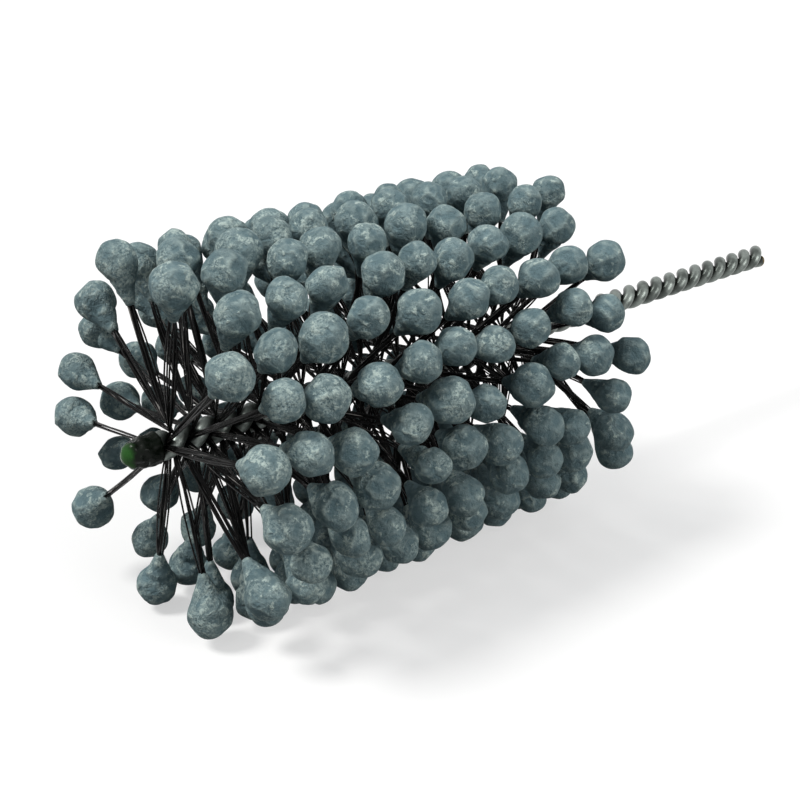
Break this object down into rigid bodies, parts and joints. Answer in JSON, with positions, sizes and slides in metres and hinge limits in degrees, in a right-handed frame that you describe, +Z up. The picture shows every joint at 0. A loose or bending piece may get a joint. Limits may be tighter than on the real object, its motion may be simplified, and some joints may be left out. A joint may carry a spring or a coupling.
{
  "type": "flexible ball hone",
  "caption": "Twisted wire stem carrying rows of abrasive balls on nylon filaments, with a dipped tip, turned in a bore by a drill to hone its wall.",
  "frame": {"origin": "centre of the stem's sawn shank end, on the tool axis", "axes": "+X along the tool axis from the shank end to the tip, +Z up with the tool lying on its lowest balls"},
  "size_m": [0.234, 0.0948, 0.0949],
  "materials": {
    "abrasive": "rough",
    "nylon": "glossy",
    "wire": "satin",
    "tip": "glossy"
  },
  "bodies": {
    "stem": {"stem_wire_a": "wire", "stem_wire_b": "wire", "tip_cap": "tip", "filament_row_01": "nylon", "filament_row_02": "nylon", "filament_row_03": "nylon", "filament_row_04": "nylon", "filament_row_05": "nylon", "filament_row_06": "nylon", "filament_row_07": "nylon", "filament_row_08": "nylon", "filament_row_09": "nylon", "filament_row_10": "nylon", "filament_row_11": "nylon", "filament_row_12": "nylon", "filament_row_13": "nylon", "filament_row_14": "nylon", "filament_row_15": "nylon", "filament_row_16": "nylon", "filament_row_17": "nylon", "filament_row_18": "nylon", "filament_row_19": "nylon", "filament_row_20": "nylon", "filament_row_21": "nylon", "filament_row_22": "nylon"},
    "row_01": {"ball_row_01": "abrasive"},
    "row_02": {"ball_row_02": "abrasive"},
    "row_03": {"ball_row_03": "abrasive"},
    "row_04": {"ball_row_04": "abrasive"},
    "row_05": {"ball_row_05": "abrasive"},
    "row_06": {"ball_row_06": "abrasive"},
    "row_07": {"ball_row_07": "abrasive"},
    "row_08": {"ball_row_08": "abrasive"},
    "row_09": {"ball_row_09": "abrasive"},
    "row_10": {"ball_row_10": "abrasive"},
    "row_11": {"ball_row_11": "abrasive"},
    "row_12": {"ball_row_12": "abrasive"},
    "row_13": {"ball_row_13": "abrasive"},
    "row_14": {"ball_row_14": "abrasive"},
    "row_15": {"ball_row_15": "abrasive"},
    "row_16": {"ball_row_16": "abrasive"},
    "row_17": {"ball_row_17": "abrasive"},
    "row_18": {"ball_row_18": "abrasive"},
    "row_19": {"ball_row_19": "abrasive"},
    "row_20": {"ball_row_20": "abrasive"},
    "row_21": {"ball_row_21": "abrasive"},
    "row_22": {"ball_row_22": "abrasive"}
  },
  "joints": [
    {"name": "row_01_press", "type": "slide", "parent": "stem", "child": "row_01", "axis": [0, -0.9848, -0.1736], "range_m": [0, 0.003], "stiffness_N_per_m": 2500, "deforming": ["filament_row_01"]},
    {"name": "row_02_press", "type": "slide", "parent": "stem", "child": "row_02", "axis": [0, -0.896, -0.4441], "range_m": [0, 0.003], "stiffness_N_per_m": 2500, "deforming": ["filament_row_02"]},
    {"name": "row_03_press", "type": "slide", "parent": "stem", "child": "row_03", "axis": [0, -0.7346, -0.6785], "range_m": [0, 0.003], "stiffness_N_per_m": 2500, "deforming": ["filament_row_03"]},
    {"name": "row_04_press", "type": "slide", "parent": "stem", "child": "row_04", "axis": [0, -0.5137, -0.858], "range_m": [0, 0.003], "stiffness_N_per_m": 2500, "deforming": ["filament_row_04"]},
    {"name": "row_05_press", "type": "slide", "parent": "stem", "child": "row_05", "axis": [0, -0.2511, -0.9679], "range_m": [0, 0.003], "stiffness_N_per_m": 2500, "deforming": ["filament_row_05"]},
    {"name": "row_06_press", "type": "slide", "parent": "stem", "child": "row_06", "axis": [0, 0.0317, -0.9995], "range_m": [0, 0.003], "stiffness_N_per_m": 2500, "deforming": ["filament_row_06"]},
    {"name": "row_07_press", "type": "slide", "parent": "stem", "child": "row_07", "axis": [0, 0.312, -0.9501], "range_m": [0, 0.003], "stiffness_N_per_m": 2500, "deforming": ["filament_row_07"]},
    {"name": "row_08_press", "type": "slide", "parent": "stem", "child": "row_08", "axis": [0, 0.5671, -0.8237], "range_m": [0, 0.003], "stiffness_N_per_m": 2500, "deforming": ["filament_row_08"]},
    {"name": "row_09_press", "type": "slide", "parent": "stem", "child": "row_09", "axis": [0, 0.7761, -0.6306], "range_m": [0, 0.003], "stiffness_N_per_m": 2500, "deforming": ["filament_row_09"]},
    {"name": "row_10_press", "type": "slide", "parent": "stem", "child": "row_10", "axis": [0, 0.9224, -0.3863], "range_m": [0, 0.003], "stiffness_N_per_m": 2500, "deforming": ["filament_row_10"]},
    {"name": "row_11_press", "type": "slide", "parent": "stem", "child": "row_11", "axis": [0, 0.9938, -0.1108], "range_m": [0, 0.003], "stiffness_N_per_m": 2500, "deforming": ["filament_row_11"]},
    {"name": "row_12_press", "type": "slide", "parent": "stem", "child": "row_12", "axis": [0, 0.9848, 0.1736], "range_m": [0, 0.003], "stiffness_N_per_m": 2500, "deforming": ["filament_row_12"]},
    {"name": "row_13_press", "type": "slide", "parent": "stem", "child": "row_13", "axis": [0, 0.896, 0.4441], "range_m": [0, 0.003], "stiffness_N_per_m": 2500, "deforming": ["filament_row_13"]},
    {"name": "row_14_press", "type": "slide", "parent": "stem", "child": "row_14", "axis": [0, 0.7346, 0.6785], "range_m": [0, 0.003], "stiffness_N_per_m": 2500, "deforming": ["filament_row_14"]},
    {"name": "row_15_press", "type": "slide", "parent": "stem", "child": "row_15", "axis": [0, 0.5137, 0.858], "range_m": [0, 0.003], "stiffness_N_per_m": 2500, "deforming": ["filament_row_15"]},
    {"name": "row_16_press", "type": "slide", "parent": "stem", "child": "row_16", "axis": [0, 0.2511, 0.9679], "range_m": [0, 0.003], "stiffness_N_per_m": 2500, "deforming": ["filament_row_16"]},
    {"name": "row_17_press", "type": "slide", "parent": "stem", "child": "row_17", "axis": [0, -0.0317, 0.9995], "range_m": [0, 0.003], "stiffness_N_per_m": 2500, "deforming": ["filament_row_17"]},
    {"name": "row_18_press", "type": "slide", "parent": "stem", "child": "row_18", "axis": [0, -0.312, 0.9501], "range_m": [0, 0.003], "stiffness_N_per_m": 2500, "deforming": ["filament_row_18"]},
    {"name": "row_19_press", "type": "slide", "parent": "stem", "child": "row_19", "axis": [0, -0.5671, 0.8237], "range_m": [0, 0.003], "stiffness_N_per_m": 2500, "deforming": ["filament_row_19"]},
    {"name": "row_20_press", "type": "slide", "parent": "stem", "child": "row_20", "axis": [0, -0.7761, 0.6306], "range_m": [0, 0.003], "stiffness_N_per_m": 2500, "deforming": ["filament_row_20"]},
    {"name": "row_21_press", "type": "slide", "parent": "stem", "child": "row_21", "axis": [0, -0.9224, 0.3863], "range_m": [0, 0.003], "stiffness_N_per_m": 2500, "deforming": ["filament_row_21"]},
    {"name": "row_22_press", "type": "slide", "parent": "stem", "child": "row_22", "axis": [0, -0.9938, 0.1108], "range_m": [0, 0.003], "stiffness_N_per_m": 2500, "deforming": ["filament_row_22"]}
  ]
}
